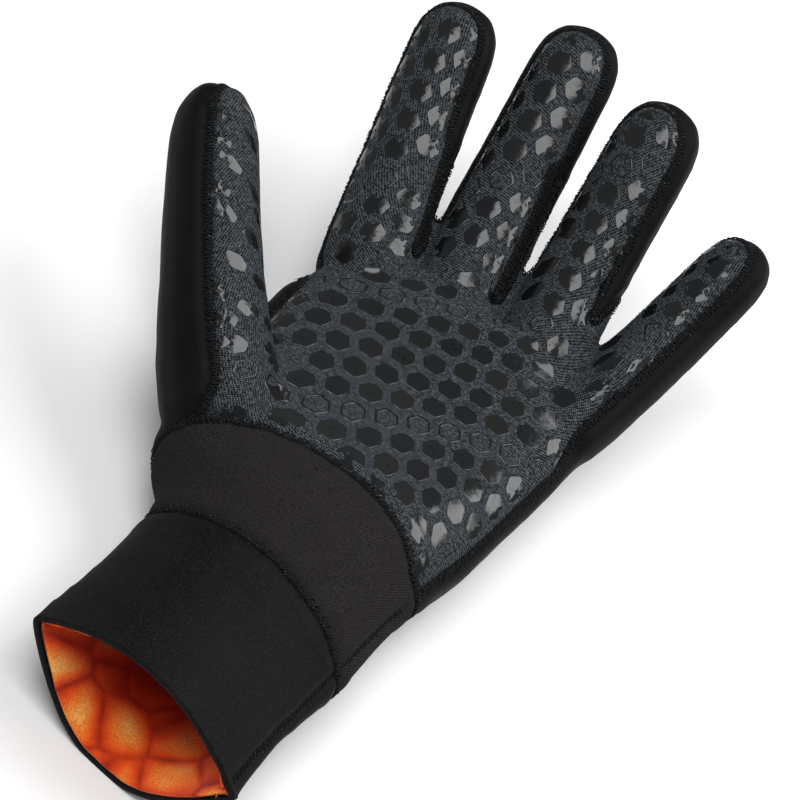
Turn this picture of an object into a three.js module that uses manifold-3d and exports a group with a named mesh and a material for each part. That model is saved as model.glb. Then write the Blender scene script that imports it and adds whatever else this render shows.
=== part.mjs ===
// A left diving glove of foam rubber, lying on its back with the palm up and the fingers curling
// upwards. Units are millimetres. +Y runs from the cuff to the fingertips, +Z comes up out of the
// palm and the thumb is on -X. The origin is on the floor, under the middle of the wrist panel.
//
// Four panels of foam rubber are sewn edge to edge: a cuff, a wrist panel, a back panel that also
// wraps round the sides of the fingers, and a grip panel over the palm and the digits. A lining
// shows inside the cuff and the wrist.
import * as THREE from "three";
import { mergeVertices } from "three/addons/utils/BufferGeometryUtils.js";
import Module from "manifold-3d";

// Foam and lining
const foamThickness = 3.2;
const liningThickness = 1;
const seatGap = 0.3; // left between two pieces that touch

// Lengths along the glove
const cuffLength = 55;
const wristLength = 31;
const palmLength = 110; // from the wrist seam to where the fingers part
const fingerLength = 120; // the middle finger's centreline, from its root inside the palm
const thumbLength = 117;

// Widths and heights
const cuffWidth = 78;
const cuffHeight = 42;
const palmWidth = 96;
const palmHeight = 48;
const fingerWidth = 29;
const fingerHeight = 27;

// Seams, and the flat that the glove rests on
const cuffTurn = -9; // degrees that the cuff's mouth and seam turn about Z
const cuffLean = 10; // degrees that they lean, with the lower lip reaching out further
const wristSeamTurn = 4;
const wristSeamBow = 15; // how far the wrist seam bows towards the fingers on the palm side
const restDip = 1; // how much of the round back is pressed flat

// Facets
const bodySides = 28;
const bodyStepsPerRow = 2;
const digitSides = 14;
const digitSteps = 7;
const tipSteps = 3;
const seamSteps = 6;

const liningOffset = foamThickness + seatGap;
const wallThickness = liningOffset + liningThickness;
const wristSeamY = wristLength / 2;
const cuffSeamY = -wristLength / 2;
const mouthY = cuffSeamY - cuffLength;
const beyond = 2 * palmWidth; // reaches out of the glove from anywhere in it

// Each stretch of the body: where it starts, its length, and the sizes its rows are shares of.
const stretches = {
  cuff: { start: mouthY, length: cuffLength, width: cuffWidth, height: cuffHeight },
  wrist: { start: cuffSeamY, length: wristLength, width: cuffWidth, height: cuffHeight },
  palm: { start: wristSeamY, length: palmLength, width: palmWidth, height: palmHeight },
};

// Sections of the body. along is a share of the stretch's length, width and shift of its width, and
// top, side, base and hollow of its height. side is the level where the section is widest, base its
// lowest level and hollow the dent in the palm. pinch runs from 1 for sharp sides, through 0 for
// round ones, to below 0 for square ones. skew is a share of the cuff's turn and lean. A row that
// leaves out skew, base or hollow has none.
const bodyRows = [
  { on: "cuff", along: 0, width: 1, shift: 0.015, top: 1, side: 0.64, pinch: 1, skew: 1 },
  { on: "cuff", along: 0.5, width: 0.94, shift: 0.035, top: 1.03, side: 0.6, pinch: 0.6, skew: 1 },
  { on: "wrist", along: 0, width: 0.98, shift: 0.075, top: 1.08, side: 0.56, pinch: 0.2, skew: 1 },
  { on: "wrist", along: 0.5, width: 1.02, shift: 0.06, top: 1.13, side: 0.55, pinch: 0, skew: 0.45 },
  { on: "palm", along: 0, width: 0.96, shift: 0.005, top: 1.03, side: 0.52, pinch: 0, hollow: 0.02 },
  { on: "palm", along: 0.22, width: 1.02, shift: 0.035, top: 1.05, side: 0.5, pinch: 0, hollow: 0.12 },
  { on: "palm", along: 0.48, width: 1.07, shift: 0.045, top: 0.98, side: 0.52, pinch: -0.1, hollow: 0.16 },
  { on: "palm", along: 0.7, width: 1.1, shift: 0.06, top: 0.92, side: 0.55, pinch: -0.1, hollow: 0.12 },
  { on: "palm", along: 0.88, width: 1.02, shift: 0.11, top: 0.88, side: 0.56, pinch: -0.2, base: 0.1 },
  { on: "palm", along: 0.97, width: 0.9, shift: 0.125, top: 0.86, side: 0.56, pinch: -0.2, base: 0.24 },
];

// The grip panel over the palm, in the same shares: its left and right edges, and how low it
// reaches at the sides.
const gripRows = [
  { along: -0.2, left: -0.39, right: 0.7, low: 0.68 },
  { along: 0.2, left: -0.39, right: 0.7, low: 0.68 },
  { along: 0.4, left: -0.6, right: 0.7, low: 0.68 },
  { along: 0.55, left: -0.7, right: 0.65, low: 0.68 },
  { along: 0.7, left: -0.7, right: 0.575, low: 0.68 },
  { along: 0.8, left: -0.7, right: 0.55, low: 0.66 },
  { along: 0.99, left: -0.7, right: 0.52, low: 0.64 },
];

// The digits' sizes. length is a share of the finger's or the thumb's length, width and height are
// shares of the finger's, and root and tip are how thick the ends are.
const digitSizes = [
  { name: "index", along: fingerLength, length: 0.91, width: 1.04, height: 1, root: 1.08, tip: 0.95 },
  { name: "middle", along: fingerLength, length: 1, width: 1.06, height: 1, root: 1.06, tip: 0.94 },
  { name: "ring", along: fingerLength, length: 0.93, width: 1.06, height: 0.98, root: 1.06, tip: 0.94 },
  { name: "little", along: fingerLength, length: 0.83, width: 0.9, height: 0.88, root: 1.04, tip: 0.92 },
  { name: "thumb", along: thumbLength, length: 0.99, width: 1.22, height: 1.24, root: 1.2, tip: 0.76 },
];

// The digits' places. x, y and z put the root at shares of the palm's width, length and height.
// Angles are in degrees. spread is towards the little finger and bend the further spread up to the
// tip, lift is the rise at the root and curl the further rise up to the tip. roll turns the grip side
// towards the little finger. seam is how far above the centreline the grip panel starts, as a share
// of half the digit's height.
const digitPlaces = {
  index: { x: -0.285, y: 0.8, z: 0.5, spread: -15.5, lift: 16, curl: 24, roll: -34, seam: 0.45 },
  middle: { x: 0, y: 0.84, z: 0.5, spread: -9.4, bend: 1, lift: 16, curl: 26, roll: -22, seam: 0.45 },
  ring: { x: 0.312, y: 0.84, z: 0.5, spread: -5.6, bend: -1, lift: 18, curl: 30, roll: -34, seam: 0.45 },
  little: { x: 0.49, y: 0.74, z: 0.52, spread: 12.5, lift: 14, curl: 26, roll: -40, seam: 0.45 },
  thumb: { x: -0.27, y: 0.08, z: 0.56, spread: -46, bend: 12, lift: 21, curl: 4, roll: 56, seam: 0.2 },
};

const rootReach = 0.5; // share of a digit over which its thicker root narrows
const rootRound = 0.6; // how thick the buried end of a digit is
const rootRoundReach = 0.18; // share of a digit over which that end swells
const tipBlunt = 0.7; // from 1 for a round fingertip down to a blunt one
const tipTurn = 85; // degrees of the fingertip's quarter round, which leaves a small flat end

// Reach of the tools that part the panels
const bowStart = 0.45; // share of the palm's height where the wrist seam starts to bow
const bowEnd = 0.95;
const gripWide = 1.12; // the grip's box round a digit, as a share of half the digit's width
const gripHigh = 1.2;
const weld = 1e-4;

const finishes = {
  palm_panel: { color: 0x3d434a, roughness: 0.8 },
  back_panel: { color: 0x17181a, roughness: 0.7 },
  wrist_panel: { color: 0x3b383a, roughness: 0.85 },
  cuff: { color: 0x1b1c1d, roughness: 0.7 },
  lining: { color: 0xd8601c, roughness: 0.9 },
};

const wasm = await Module();
wasm.setup();
const between = THREE.MathUtils.lerp;
const radians = THREE.MathUtils.degToRad;

// Solids from rings of points

// Joins rings, all with as many points, into one closed geometry with a flat cap at each end.
function loft(rings) {
  const count = rings[0].length;
  const middleOf = (ring) =>
    ring.reduce((sum, point) => sum.add(point), new THREE.Vector3()).divideScalar(count);
  const lastRing = (rings.length - 1) * count;
  const startCap = rings.length * count;
  const endCap = startCap + 1;
  const faces = [];
  for (let side = 0; side < count; side++) {
    const next = (side + 1) % count;
    faces.push(startCap, next, side);
    faces.push(endCap, lastRing + side, lastRing + next);
    for (let ring = 0; ring < lastRing; ring += count) {
      faces.push(ring + side, ring + next, ring + count + next);
      faces.push(ring + side, ring + count + next, ring + count + side);
    }
  }
  const points = [...rings.flat(), middleOf(rings[0]), middleOf(rings.at(-1))];
  return new THREE.BufferGeometry().setFromPoints(points).setIndex(faces);
}

// A closed geometry as a manifold-3d solid.
function solid(geometry) {
  const merged = mergeVertices(geometry, weld);
  return new wasm.Manifold(
    new wasm.Mesh({
      numProp: 3,
      vertProperties: new Float32Array(merged.attributes.position.array),
      triVerts: new Uint32Array(merged.index.array),
    }),
  );
}

const joined = (solids) => solids.reduce((all, next) => all.add(next));

// Cuff, wrist and palm

// One row of the body's table in millimetres and radians.
function bodySection(row) {
  const { start, length, width, height } = stretches[row.on];
  const { skew = 0, base = 0, hollow = 0 } = row;
  return {
    y: start + row.along * length,
    halfWidth: (row.width * width) / 2,
    shift: row.shift * width,
    top: row.top * height,
    side: row.side * height,
    base: base * height,
    turn: skew * radians(cuffTurn),
    lean: skew * radians(cuffLean),
    pinch: row.pinch,
    hollow: hollow * height,
  };
}

// One value on the smooth curve through the middle two of four.
function smooth(before, from, to, after, share) {
  const slopeFrom = (to - before) / 2;
  const slopeTo = (after - from) / 2;
  const sag = 3 * (to - from) - 2 * slopeFrom - slopeTo;
  const bend = 2 * (from - to) + slopeFrom + slopeTo;
  return from + share * (slopeFrom + share * (sag + share * bend));
}

// The table's sections with smooth ones in between.
function bodySections() {
  const known = bodyRows.map(bodySection);
  const at = (index) => known[THREE.MathUtils.clamp(index, 0, known.length - 1)];
  const all = [];
  for (let index = 0; index < known.length - 1; index++) {
    for (let step = 0; step < bodyStepsPerRow; step++) {
      const section = {};
      for (const name of Object.keys(known[0])) {
        const near = [-1, 0, 1, 2].map((offset) => at(index + offset)[name]);
        section[name] = smooth(...near, step / bodyStepsPerRow);
      }
      all.push(section);
    }
  }
  return [...all, known.at(-1)];
}

// One section's ring, inset from the outer surface and flat where it would go through the floor.
function bodyRing(section, inset, reach) {
  const sideInset = inset * (1 + Math.max(section.pinch, 0) / 2);
  const ring = [];
  for (let step = 0; step < bodySides; step++) {
    const angle = (2 * Math.PI * step) / bodySides;
    const rise = Math.sin(angle);
    const round = Math.abs(rise) ** (1 + section.pinch);
    const upper = (section.top - inset - section.side) * round - section.hollow * rise ** 4;
    const lower = -(section.side + restDip - section.base - inset) * round;
    const x = (section.halfWidth - sideInset) * Math.cos(angle);
    const z = Math.max(section.side + (rise > 0 ? upper : lower), inset);
    const skewed = Math.tan(section.turn) * x + Math.tan(section.lean) * (z - section.side);
    ring.push(new THREE.Vector3(section.shift + x, section.y + reach + skewed, z));
  }
  return ring.toReversed();
}

// The tube from the mouth to where the fingers part. An inset one runs on out of the mouth, and
// stops a wall short of the fingers.
function body(inset) {
  const rings = bodySections().map((section, index, all) => {
    if (index === 0) {
      return bodyRing(section, inset, inset > 0 ? -wallThickness : 0);
    }
    return bodyRing(section, inset, index === all.length - 1 ? -inset : 0);
  });
  return solid(loft(rings));
}

// Digits

const digits = digitSizes.map((sizes) => ({ ...sizes, ...digitPlaces[sizes.name] }));

// Stations along a digit: the place on its centreline, the directions forward, across and out of the
// grip side, and half its width and height there.
function digitStations(digit, inset) {
  const length = digit.length * digit.along;
  const tipLength = (digit.width * fingerWidth) / 2;
  const place = new THREE.Vector3(
    digit.x * palmWidth,
    wristSeamY + digit.y * palmLength,
    digit.z * palmHeight,
  );
  const stations = [];
  let reached = 0;
  for (let step = 0; step <= digitSteps + tipSteps; step++) {
    const tipAngle = radians(tipTurn) * Math.max((step - digitSteps) / tipSteps, 0);
    const straight = (length - tipLength) * Math.min(step / digitSteps, 1);
    const reach = straight + (tipLength - inset) * Math.sin(tipAngle);
    const midway = (reached + reach) / (2 * length);
    const lift = radians(digit.lift + digit.curl * midway);
    const spread = radians(digit.spread + (digit.bend ?? 0) * midway);
    const forward = new THREE.Vector3(
      Math.sin(spread) * Math.cos(lift),
      Math.cos(spread) * Math.cos(lift),
      Math.sin(lift),
    );
    place.addScaledVector(forward, reach - reached);
    reached = reach;
    const share = reach / length;
    const across = new THREE.Vector3(Math.cos(spread), -Math.sin(spread), 0);
    across.applyAxisAngle(forward, radians(digit.roll));
    const rootThick = between(digit.root, 1, Math.min(share / rootReach, 1));
    const thick = rootThick * between(1, digit.tip, share ** 2);
    const swell = Math.sin(radians(90) * Math.min(share / rootRoundReach, 1));
    stations.push({
      place: place.clone(),
      forward,
      across,
      out: new THREE.Vector3().crossVectors(across, forward),
      halfWidth: (thick * digit.width * fingerWidth) / 2,
      halfHeight: (thick * digit.height * fingerHeight) / 2,
      round: between(rootRound, 1, swell) * Math.cos(tipAngle) ** tipBlunt,
    });
  }
  return stations;
}

// A point beside a station's centreline.
const beside = (station, across, out) =>
  station.place.clone().addScaledVector(station.across, across).addScaledVector(station.out, out);

// One digit, inset from the outer surface.
function digitTube(digit, inset) {
  const rings = digitStations(digit, inset).map((station) => {
    const halfWidth = (station.halfWidth - inset) * station.round;
    const halfHeight = (station.halfHeight - inset) * station.round;
    const ring = [];
    for (let step = 0; step < digitSides; step++) {
      const angle = (2 * Math.PI * step) / digitSides;
      ring.push(beside(station, halfWidth * Math.cos(angle), halfHeight * Math.sin(angle)));
    }
    return ring.toReversed();
  });
  return solid(loft(rings));
}

// The whole glove without its hollow, inset from the outer surface.
const form = (inset) => joined([body(inset), ...digits.map((digit) => digitTube(digit, inset))]);

// Tools that part the panels. Each is grown by a gap, so the panel beyond it keeps clear.

// Everything on the cuff's side of a seam. The seam turns about Z, leans, and bows forward above
// the sides.
function cuffSide({ y, turn, lean, bow }, gap) {
  const sideLevel = palmHeight * bowStart;
  const topLevel = palmHeight * bowEnd;
  const crossings = [-beyond];
  for (let step = 0; step <= seamSteps; step++) {
    crossings.push(between(-palmWidth / 2, palmWidth / 2, step / seamSteps));
  }
  crossings.push(beyond);
  const rings = crossings.map((x) => {
    const bowed = bow * Math.max(1 - (x / (palmWidth / 2)) ** 2, 0);
    const turned = y + gap + Math.tan(radians(turn)) * x;
    const seamAt = (z) => turned + Math.tan(radians(lean)) * (z - sideLevel);
    return [
      new THREE.Vector3(x, -beyond, -beyond),
      new THREE.Vector3(x, seamAt(-beyond), -beyond),
      new THREE.Vector3(x, seamAt(sideLevel), sideLevel),
      new THREE.Vector3(x, seamAt(topLevel) + bowed, topLevel),
      new THREE.Vector3(x, seamAt(beyond) + bowed, beyond),
      new THREE.Vector3(x, -beyond, beyond),
    ];
  });
  return solid(loft(rings));
}

// What the grip panel covers on one digit: the box above its seam, from root to past the tip.
function digitGrip(digit, gap) {
  const stations = digitStations(digit, 0);
  const last = stations.at(-1);
  stations.push({ ...last, place: last.place.clone().addScaledVector(last.forward, fingerWidth) });
  const rings = stations.map((station) => {
    const reach = station.halfWidth * gripWide + gap;
    const high = station.halfHeight * gripHigh + gap;
    const low = station.halfHeight * digit.seam - gap;
    return [
      beside(station, -reach, low),
      beside(station, -reach, high),
      beside(station, reach, high),
      beside(station, reach, low),
    ];
  });
  return solid(loft(rings));
}

// What the grip panel covers on the palm.
function palmGrip(gap) {
  const rings = gripRows.map((row) => {
    const y = wristSeamY + row.along * palmLength;
    const left = row.left * palmWidth - gap;
    const right = row.right * palmWidth + gap;
    const low = row.low * palmHeight - gap;
    return [
      new THREE.Vector3(left, y, low),
      new THREE.Vector3(left, y, beyond),
      new THREE.Vector3(right, y, beyond),
      new THREE.Vector3(right, y, low),
    ];
  });
  return solid(loft(rings));
}

const grip = (gap) => joined([palmGrip(gap), ...digits.map((digit) => digitGrip(digit, gap))]);
const cuffSeam = { y: cuffSeamY, turn: cuffTurn, lean: cuffLean, bow: 0 };
const wristSeam = { y: wristSeamY, turn: wristSeamTurn, lean: 0, bow: wristSeamBow };

// The panels

const outer = form(0);
const sleeve = outer.subtract(form(foamThickness)).intersect(cuffSide(wristSeam, 0));
const hand = outer.subtract(form(wallThickness)).subtract(cuffSide(wristSeam, seatGap));
const linedSleeve = form(liningOffset).subtract(form(wallThickness)).intersect(outer);

const panels = {
  palm_panel: hand.intersect(grip(0)),
  back_panel: hand.subtract(grip(seatGap)),
  wrist_panel: sleeve.subtract(cuffSide(cuffSeam, seatGap)),
  cuff: sleeve.intersect(cuffSide(cuffSeam, 0)),
  lining: linedSleeve.intersect(cuffSide(wristSeam, 0)),
};

const glove = new THREE.Group();
for (const [name, panel] of Object.entries(panels)) {
  const { vertProperties, triVerts } = panel.getMesh();
  const geometry = new THREE.BufferGeometry();
  geometry.setAttribute("position", new THREE.BufferAttribute(vertProperties, 3));
  geometry.setIndex(new THREE.BufferAttribute(triVerts, 1));
  geometry.computeVertexNormals();
  const material = new THREE.MeshStandardMaterial({ ...finishes[name], metalness: 0 });
  const mesh = new THREE.Mesh(geometry, material);
  mesh.name = name;
  glove.add(mesh);
}

export default glove;
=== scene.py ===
# %% [markdown]
# # A diving glove of foam rubber
#
# The glove is a left-hand one, lying on its back. Four panels of foam rubber are sewn edge to edge:
# a black cuff, a charcoal wrist panel, a smooth black back panel that wraps round the sides of the
# fingers, and a grip panel of grey-blue knit over the palm. Rubber hexagons are printed on the knit,
# thick overlocked seams join the panels, and an orange plush lines the inside.
#
# The imported CAD model gives the place and the size of each panel as a plain faceted solid. It is
# loaded first.

# %% Load the imported model
import math
import random

import bmesh
import bpy
import numpy as np
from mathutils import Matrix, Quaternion, Vector, noise
from mathutils.bvhtree import BVHTree
from mathutils.geometry import barycentric_transform
from mathutils.kdtree import KDTree


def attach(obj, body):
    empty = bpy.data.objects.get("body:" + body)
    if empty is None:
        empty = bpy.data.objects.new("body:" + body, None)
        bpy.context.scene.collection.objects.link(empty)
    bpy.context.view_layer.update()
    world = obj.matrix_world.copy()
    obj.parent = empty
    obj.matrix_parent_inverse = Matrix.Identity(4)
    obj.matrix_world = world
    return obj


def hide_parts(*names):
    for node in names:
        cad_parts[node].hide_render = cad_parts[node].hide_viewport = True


MM = 0.001
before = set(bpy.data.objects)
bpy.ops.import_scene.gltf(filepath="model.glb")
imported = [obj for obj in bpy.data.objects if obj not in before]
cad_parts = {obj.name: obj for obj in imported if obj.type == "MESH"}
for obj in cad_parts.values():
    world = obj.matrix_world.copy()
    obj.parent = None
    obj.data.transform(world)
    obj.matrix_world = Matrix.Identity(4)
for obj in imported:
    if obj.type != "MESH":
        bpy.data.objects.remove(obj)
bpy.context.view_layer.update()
print("CAD panels:", ", ".join(sorted(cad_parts)))

# %% [markdown]
# ## The camera
#
# The photograph looks down on the palm from the cuff's side with a long lens, and the camera is
# rolled, so that the fingers point to the upper right. A camera can be placed by hand, or from the
# angles that the object's own lengths give. The angles are used here, because they can be checked.

# %% Place the camera
TARGET = Vector((6.24, 65.8, 45.0)) * MM
CAMERA_AZIMUTH = 8.66
CAMERA_ELEVATION = 47
CAMERA_ROLL = math.radians(28)
CAMERA_DISTANCE = 1.15
LENS = 173.4


def way_from_target(azimuth, elevation):
    """The direction from the glove to a camera or a lamp, from its angles in degrees."""
    turn, rise = math.radians(azimuth), math.radians(elevation)
    return Vector((math.sin(turn) * math.cos(rise), -math.cos(turn) * math.cos(rise), math.sin(rise)))


def looking_back(way):
    """The rotation of a camera or a lamp that looks back along its way from the glove."""
    return (-way).to_track_quat("-Z", "Y")


back = way_from_target(CAMERA_AZIMUTH, CAMERA_ELEVATION)
camera = bpy.data.objects.new("camera", bpy.data.cameras.new("camera"))
bpy.context.scene.collection.objects.link(camera)
camera.data.lens = LENS
camera.rotation_mode = "QUATERNION"
camera.location = TARGET + back * CAMERA_DISTANCE
camera.rotation_quaternion = looking_back(back) @ Quaternion((0, 0, 1), CAMERA_ROLL)
bpy.context.scene.camera = camera
print("camera at", [round(c, 3) for c in camera.location])

# %% [markdown]
# ## One smooth skin
#
# Foam rubber has no edges or facets: the panels meet in one rounded form. Subdividing the faceted
# solids would keep their facets as dents, so the skin is made anew. The panels are joined, the mouth
# is stopped with a plug, and a voxel remesh wraps all of it in one even skin, which smoothing then
# rounds. The plug goes once the skin is smooth, so the mouth keeps its sharp cut edge.

# %% Join the panels and stop the mouth
PANELS = ("palm_panel", "back_panel", "wrist_panel", "cuff")
WELD = 0.01 * MM
CUT_END_FACING = 0.9
CUT_END_DEPTH = 20 * MM
PLUG_IN = 2 * MM
PLUG_OUT = 14 * MM


def welded(*names):
    """CAD nodes as one mesh of shared vertices."""
    mesh = bmesh.new()
    for name in names:
        mesh.from_mesh(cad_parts[name].data)
    bmesh.ops.remove_doubles(mesh, verts=mesh.verts, dist=WELD)
    return mesh


def mouth_plane():
    """The middle of the cuff's cut end, and the direction that it faces."""
    cuff = welded("cuff")
    cuff.normal_update()
    lowest = min(v.co.y for v in cuff.verts)
    end = [
        face
        for face in cuff.faces
        if face.normal.y < -CUT_END_FACING and face.calc_center_median().y < lowest + CUT_END_DEPTH
    ]
    area = sum(f.calc_area() for f in end)
    middle = sum((f.calc_center_median() * f.calc_area() for f in end), Vector()) / area
    facing = sum((f.normal * f.calc_area() for f in end), Vector()).normalized()
    rim = sorted({v.co[:] for f in end for v in f.verts})
    cuff.free()
    return middle, facing, [Vector(corner) for corner in rim]


mouth_middle, mouth_facing, mouth_corners = mouth_plane()
print("mouth faces", [round(c, 3) for c in mouth_facing])


def plug(mesh):
    """Adds a stopper that carries the cuff's outline on, out of the mouth."""
    near = [mesh.verts.new(c - mouth_facing * PLUG_IN) for c in mouth_corners]
    far = [mesh.verts.new(c + mouth_facing * PLUG_OUT) for c in mouth_corners]
    hull = bmesh.ops.convex_hull(mesh, input=near + far)
    spare = {v for v in hull["geom_interior"] + hull["geom_unused"] if isinstance(v, bmesh.types.BMVert)}
    bmesh.ops.delete(mesh, geom=list(spare), context="VERTS")


def as_object(mesh, name):
    """A bmesh as a new object at the origin."""
    data = bpy.data.meshes.new(name)
    mesh.to_mesh(data)
    mesh.free()
    made = bpy.data.objects.new(name, data)
    bpy.context.scene.collection.objects.link(made)
    return made


joined = welded(*PANELS)
plug(joined)
wrapped = as_object(joined, "wrapped")

# %% Wrap it in an even skin and round it
VOXEL = 1.25 * MM
ROUNDING = 24
HALFWAY = 0.5

remesh = wrapped.modifiers.new("even skin", "REMESH")
remesh.mode = "VOXEL"
remesh.voxel_size = VOXEL
rounding = wrapped.modifiers.new("rounding", "SMOOTH")
rounding.factor = HALFWAY
rounding.iterations = ROUNDING


def evaluated(thing):
    """A bmesh of an object with its modifiers applied. The object is removed."""
    graph = bpy.context.evaluated_depsgraph_get()
    data = bpy.data.meshes.new_from_object(thing.evaluated_get(graph))
    mesh = bmesh.new()
    mesh.from_mesh(data)
    bpy.data.meshes.remove(data)
    bpy.data.objects.remove(thing)
    return mesh


def largest_island(mesh):
    """Keeps the connected part with the most vertices."""
    left = set(mesh.verts)
    best = set()
    while left:
        front = [left.pop()]
        island = set(front)
        while front:
            for edge in front.pop().link_edges:
                for end in edge.verts:
                    if end in left:
                        left.discard(end)
                        island.add(end)
                        front.append(end)
        best = max(best, island, key=len)
    bmesh.ops.delete(mesh, geom=[v for v in mesh.verts if v not in best], context="VERTS")


def cut_off(mesh, through, facing):
    """Cuts a mesh with a plane and drops what is in front of it."""
    everything = mesh.verts[:] + mesh.edges[:] + mesh.faces[:]
    bmesh.ops.bisect_plane(mesh, geom=everything, plane_co=through, plane_no=facing, clear_outer=True)


skin = evaluated(wrapped)
largest_island(skin)
cut_off(skin, mouth_middle, mouth_facing)
bmesh.ops.triangulate(skin, faces=skin.faces)
print("skin:", len(skin.verts), "vertices,", len(skin.faces), "faces")

# %% [markdown]
# ## Part the skin into its panels
#
# A cutter marks the panels on the cloth before cutting. Here each vertex of the skin gets its
# distance to each CAD panel, and a seam runs where two of the distances are equal. Cutting at the
# nearest edges would leave teeth, so each edge that a seam crosses is split at the crossing. Two
# things come from the photograph: the grip panel sits a little further towards the little finger,
# and it is slit between the fingers, where the black panel reaches down to it.

# %% Look at the skin through the photograph's pixels
PHOTO_SIZE = 800
SENSOR = camera.data.sensor_width
skin_tree = BVHTree.FromBMesh(skin)


def seen_at(pixel):
    """The point of the skin that the photograph shows at a pixel, or None."""
    across = (pixel[0] / PHOTO_SIZE - 0.5) * SENSOR
    up = (0.5 - pixel[1] / PHOTO_SIZE) * SENSOR
    ray = camera.rotation_quaternion @ Vector((across, up, -LENS)).normalized()
    return skin_tree.ray_cast(camera.location, ray)[0]


seen_middle = seen_at((PHOTO_SIZE / 2, PHOTO_SIZE / 2))
print("the middle of the picture shows", [round(c / MM) for c in seen_middle], "mm")

# %% Measure how far the skin is from each panel
SEAM_SMOOTHING = 30


def distances(mesh, name):
    """How far each vertex of the mesh is from a CAD panel."""
    panel = welded(name)
    tree = BVHTree.FromBMesh(panel)
    panel.free()
    return np.array([tree.find_nearest(v.co)[3] for v in mesh.verts])


def evened(mesh, values, rounds):
    """Values averaged with their neighbours' a number of times."""
    ends = np.array([[e.verts[0].index, e.verts[1].index] for e in mesh.edges])
    count = np.bincount(ends.ravel(), minlength=len(values))
    for _ in range(rounds):
        total = np.bincount(ends[:, 0], values[ends[:, 1]], len(values))
        total += np.bincount(ends[:, 1], values[ends[:, 0]], len(values))
        values = (values + total / count) / 2
    return values


skin.verts.index_update()
far = {name: distances(skin, name) for name in PANELS}
hand_side = np.minimum(far["palm_panel"], far["back_panel"])
sleeve_side = np.minimum(far["wrist_panel"], far["cuff"])
marks = {
    "hand": evened(skin, sleeve_side - hand_side, SEAM_SMOOTHING),
    "wrist": evened(skin, far["cuff"] - far["wrist_panel"], SEAM_SMOOTHING),
    "palm": evened(skin, far["back_panel"] - far["palm_panel"], SEAM_SMOOTHING),
}
print("farthest from each panel:", {name: round(gaps.max() / MM) for name, gaps in far.items()}, "mm")


def length_of(points):
    """The length of the way through the points."""
    return sum((b - a).length for a, b in zip(points, points[1:]))


def resampled(points, step, closed=False):
    """Points at equal steps along the way through the given points."""
    ring = points + points[:1] if closed else points
    reached = np.cumsum([0] + [(b - a).length for a, b in zip(ring, ring[1:])])
    count = max(round(reached[-1] / step), 2)
    places = np.linspace(0, reached[-1], count, endpoint=not closed)
    axes = [np.interp(places, reached, [p[axis] for p in ring]) for axis in range(3)]
    return [Vector(p) for p in zip(*axes)]


def search_tree(points):
    """A tree that finds the nearest of the points."""
    tree = KDTree(len(points))
    for position, point in enumerate(points):
        tree.insert(point, position)
    tree.balance()
    return tree


# %% Turn the grip panel towards the little finger and slit it between the fingers
GRIP_TURN = 1.6 * MM
SLIT_PIXELS = (
    ((450, 158), (441, 185), (433, 210), (425, 235), (418, 250)),
    ((556, 172), (548, 198), (522, 255), (500, 297)),
    ((628, 300), (604, 331)),
)
SLIT_HALF_WIDTH = 2.3 * MM
SLIT_REACH = 14 * MM
SLIT_STEP = 0.5 * MM
SLIT_SMOOTHING = 4

slit_points = []
for pixels in SLIT_PIXELS:
    found = [hit for hit in (seen_at(pixel) for pixel in pixels) if hit is not None]
    print("slit:", [[round(c / MM) for c in p] for p in found])
    slit_points += resampled(found, SLIT_STEP) if len(found) > 1 else found
slit_tree = search_tree(slit_points)
skin.normal_update()
for vert in skin.verts:
    marks["palm"][vert.index] += GRIP_TURN * vert.normal.x
    off_slit = slit_tree.find(vert.co)[2]
    if off_slit < SLIT_REACH:
        marks["palm"][vert.index] = min(marks["palm"][vert.index], off_slit - SLIT_HALF_WIDTH)
marks["palm"] = evened(skin, marks["palm"], SLIT_SMOOTHING)
layers = {mark: skin.verts.layers.float.new(mark) for mark in marks}
for mark, values in marks.items():
    for vert in skin.verts:
        vert[layers[mark]] = values[vert.index]

# %% Cut the skin along the seams
SNAP = 0.12


def cut(mesh, layer, inside):
    """Splits the faces where the layer's value is zero, among the vertices that are inside."""
    for edge in mesh.edges:
        first, second = edge.verts
        if not (inside(first) and inside(second)) or first[layer] * second[layer] >= 0:
            continue
        share = first[layer] / (first[layer] - second[layer])
        if share < SNAP:
            first.co = first.co.lerp(second.co, share)
            first[layer] = 0
        elif share > 1 - SNAP:
            second.co = second.co.lerp(first.co, 1 - share)
            second[layer] = 0
    fresh = [v for v in mesh.verts if v[layer] == 0 and inside(v)]
    for edge in mesh.edges[:]:
        first, second = edge.verts
        if inside(first) and inside(second) and first[layer] * second[layer] < 0:
            share = first[layer] / (first[layer] - second[layer])
            fresh.append(bmesh.utils.edge_split(edge, first, share)[1])
            fresh[-1][layer] = 0
    bmesh.ops.connect_verts(mesh, verts=fresh)
    bmesh.ops.triangulate(mesh, faces=[f for f in mesh.faces if len(f.verts) > 3])


cut(skin, layers["hand"], lambda v: True)
cut(skin, layers["wrist"], lambda v: v[layers["hand"]] <= 0)
cut(skin, layers["palm"], lambda v: v[layers["hand"]] >= 0)


def side_of(face, mark):
    """Which side of a seam a face is on."""
    return sum(v[layers[mark]] for v in face.verts) > 0


def panel_of(face):
    """The panel that a face belongs to."""
    if side_of(face, "hand"):
        return "palm_panel" if side_of(face, "palm") else "back_panel"
    return "wrist_panel" if side_of(face, "wrist") else "cuff"


face_panel = {face: PANELS.index(panel_of(face)) for face in skin.faces}
for position, name in enumerate(PANELS):
    print(name, sum(1 for p in face_panel.values() if p == position), "faces")

# %% [markdown]
# ## Find the seams
#
# The seams are the edges between faces of two different panels. They are joined end to end into
# routes, because everything that follows a seam needs one: the groove that the thread pulls into the
# foam, and later the thread itself. The side seam of the cuff and the wrist panel is no border
# between panels, so its route is found by looking at the skin through pixels of the photograph.

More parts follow.
